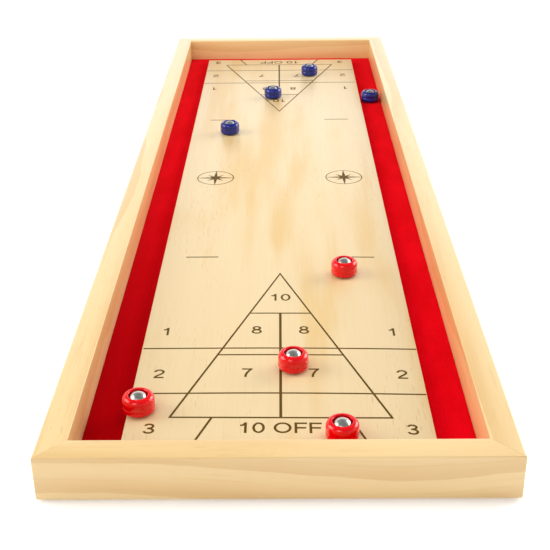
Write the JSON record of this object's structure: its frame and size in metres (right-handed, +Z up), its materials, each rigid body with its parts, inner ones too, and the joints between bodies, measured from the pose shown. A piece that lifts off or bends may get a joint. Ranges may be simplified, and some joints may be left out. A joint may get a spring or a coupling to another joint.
{
  "type": "table-top shuffleboard game",
  "caption": "Table-top shuffleboard game: mitred pine tray with a felt-lined floor, a raised play board and ball-bearing pucks that roll along it.",
  "frame": {"origin": "centre of the footprint, on the surface the feet stand on", "axes": "+Z up, +Y along the tray from the near end to the far end, +X to the right"},
  "size_m": [0.35, 1.2, 0.0385],
  "materials": {
    "pine": "clear satin lacquer over pine grain",
    "lacquered_board": "smooth semi-gloss lacquer, printed courts in dark brown ink",
    "plywood": "unfinished plywood",
    "red_felt": "short-napped felt",
    "zinc_steel": "zinc plated",
    "black_rubber": "matt",
    "red_plastic": "glossy moulded",
    "blue_plastic": "glossy moulded",
    "court_ink": "matt",
    "chrome_steel": "polished bearing ball"
  },
  "bodies": {
    "table": {"near_rail": "pine", "right_rail": "pine", "far_rail": "pine", "left_rail": "pine", "corner_key_near_left": "zinc_steel", "corner_key_near_right": "zinc_steel", "corner_key_far_left": "zinc_steel", "corner_key_far_right": "zinc_steel", "base_panel": "plywood", "felt_lining": "red_felt", "play_board": "lacquered_board", "board_screw_1": "zinc_steel", "board_screw_2": "zinc_steel", "board_screw_3": "zinc_steel", "board_screw_4": "zinc_steel", "board_screw_5": "zinc_steel", "board_screw_6": "zinc_steel", "board_screw_7": "zinc_steel", "board_screw_8": "zinc_steel", "foot_near_left": "black_rubber", "foot_near_right": "black_rubber", "foot_middle_left": "black_rubber", "foot_middle_right": "black_rubber", "foot_far_left": "black_rubber", "foot_far_right": "black_rubber"},
    "red_puck_1": {"red_puck_1_housing": "red_plastic", "red_puck_1_retainer": "red_plastic"},
    "red_puck_1_bearing": {"red_puck_1_ball": "chrome_steel"},
    "red_puck_2": {"red_puck_2_housing": "red_plastic", "red_puck_2_retainer": "red_plastic"},
    "red_puck_2_bearing": {"red_puck_2_ball": "chrome_steel"},
    "red_puck_3": {"red_puck_3_housing": "red_plastic", "red_puck_3_retainer": "red_plastic"},
    "red_puck_3_bearing": {"red_puck_3_ball": "chrome_steel"},
    "red_puck_4": {"red_puck_4_housing": "red_plastic", "red_puck_4_retainer": "red_plastic"},
    "red_puck_4_bearing": {"red_puck_4_ball": "chrome_steel"},
    "blue_puck_1": {"blue_puck_1_housing": "blue_plastic", "blue_puck_1_retainer": "blue_plastic"},
    "blue_puck_1_bearing": {"blue_puck_1_ball": "chrome_steel"},
    "blue_puck_2": {"blue_puck_2_housing": "blue_plastic", "blue_puck_2_retainer": "blue_plastic"},
    "blue_puck_2_bearing": {"blue_puck_2_ball": "chrome_steel"},
    "blue_puck_3": {"blue_puck_3_housing": "blue_plastic", "blue_puck_3_retainer": "blue_plastic"},
    "blue_puck_3_bearing": {"blue_puck_3_ball": "chrome_steel"},
    "blue_puck_4": {"blue_puck_4_housing": "blue_plastic", "blue_puck_4_retainer": "blue_plastic"},
    "blue_puck_4_bearing": {"blue_puck_4_ball": "chrome_steel"}
  },
  "joints": [
    {"name": "red_puck_1_slide", "type": "slide", "parent": "table", "child": "red_puck_1", "axis": [0, 1, 0], "range_m": [-0.0406, 1.0506]},
    {"name": "red_puck_1_roll", "type": "hinge", "parent": "red_puck_1", "child": "red_puck_1_bearing", "pos_m": [-0.1113, -0.505, 0.02225], "axis": [1, 0, 0], "continuous": true},
    {"name": "red_puck_2_slide", "type": "slide", "parent": "table", "child": "red_puck_2", "axis": [0, 1, 0], "range_m": [-0.0031, 0.2568]},
    {"name": "red_puck_2_roll", "type": "hinge", "parent": "red_puck_2", "child": "red_puck_2_bearing", "pos_m": [0.0485, -0.5425, 0.02225], "axis": [1, 0, 0], "continuous": true},
    {"name": "red_puck_3_slide", "type": "slide", "parent": "table", "child": "red_puck_3", "axis": [0, 1, 0], "range_m": [-0.1039, 0.7585]},
    {"name": "red_puck_3_roll", "type": "hinge", "parent": "red_puck_3", "child": "red_puck_3_bearing", "pos_m": [0.0122, -0.4417, 0.02225], "axis": [1, 0, 0], "continuous": true},
    {"name": "red_puck_4_slide", "type": "slide", "parent": "table", "child": "red_puck_4", "axis": [0, 1, 0], "range_m": [-0.2568, 0.6977]},
    {"name": "red_puck_4_roll", "type": "hinge", "parent": "red_puck_4", "child": "red_puck_4_bearing", "pos_m": [0.0649, -0.265, 0.02225], "axis": [1, 0, 0], "continuous": true},
    {"name": "blue_puck_1_slide", "type": "slide", "parent": "table", "child": "blue_puck_1", "axis": [0, 1, 0], "range_m": [-0.7131, 0.3781]},
    {"name": "blue_puck_1_roll", "type": "hinge", "parent": "blue_puck_1", "child": "blue_puck_1_bearing", "pos_m": [-0.0685, 0.1675, 0.02225], "axis": [1, 0, 0], "continuous": true},
    {"name": "blue_puck_2_slide", "type": "slide", "parent": "table", "child": "blue_puck_2", "axis": [0, 1, 0], "range_m": [-0.7585, 0.2156]},
    {"name": "blue_puck_2_roll", "type": "hinge", "parent": "blue_puck_2", "child": "blue_puck_2_bearing", "pos_m": [-0.0105, 0.33, 0.02225], "axis": [1, 0, 0], "continuous": true},
    {"name": "blue_puck_3_slide", "type": "slide", "parent": "table", "child": "blue_puck_3", "axis": [0, 1, 0], "range_m": [-0.6977, 0.0931]},
    {"name": "blue_puck_3_roll", "type": "hinge", "parent": "blue_puck_3", "child": "blue_puck_3_bearing", "pos_m": [0.0475, 0.4525, 0.02225], "axis": [1, 0, 0], "continuous": true},
    {"name": "blue_puck_4_slide", "type": "slide", "parent": "table", "child": "blue_puck_4", "axis": [0, 1, 0], "range_m": [-0.8945, 0.2345]},
    {"name": "blue_puck_4_roll", "type": "hinge", "parent": "blue_puck_4", "child": "blue_puck_4_bearing", "pos_m": [0.1362, 0.33, 0.01575], "axis": [1, 0, 0], "continuous": true}
  ],
  "couplings": [
    {"joint": "red_puck_1_roll", "follows": "red_puck_1_slide", "rad_per_m": -114.55},
    {"joint": "red_puck_2_roll", "follows": "red_puck_2_slide", "rad_per_m": -114.55},
    {"joint": "red_puck_3_roll", "follows": "red_puck_3_slide", "rad_per_m": -114.55},
    {"joint": "red_puck_4_roll", "follows": "red_puck_4_slide", "rad_per_m": -114.55},
    {"joint": "blue_puck_1_roll", "follows": "blue_puck_1_slide", "rad_per_m": -114.55},
    {"joint": "blue_puck_2_roll", "follows": "blue_puck_2_slide", "rad_per_m": -114.55},
    {"joint": "blue_puck_3_roll", "follows": "blue_puck_3_slide", "rad_per_m": -114.55},
    {"joint": "blue_puck_4_roll", "follows": "blue_puck_4_slide", "rad_per_m": -114.55}
  ]
}
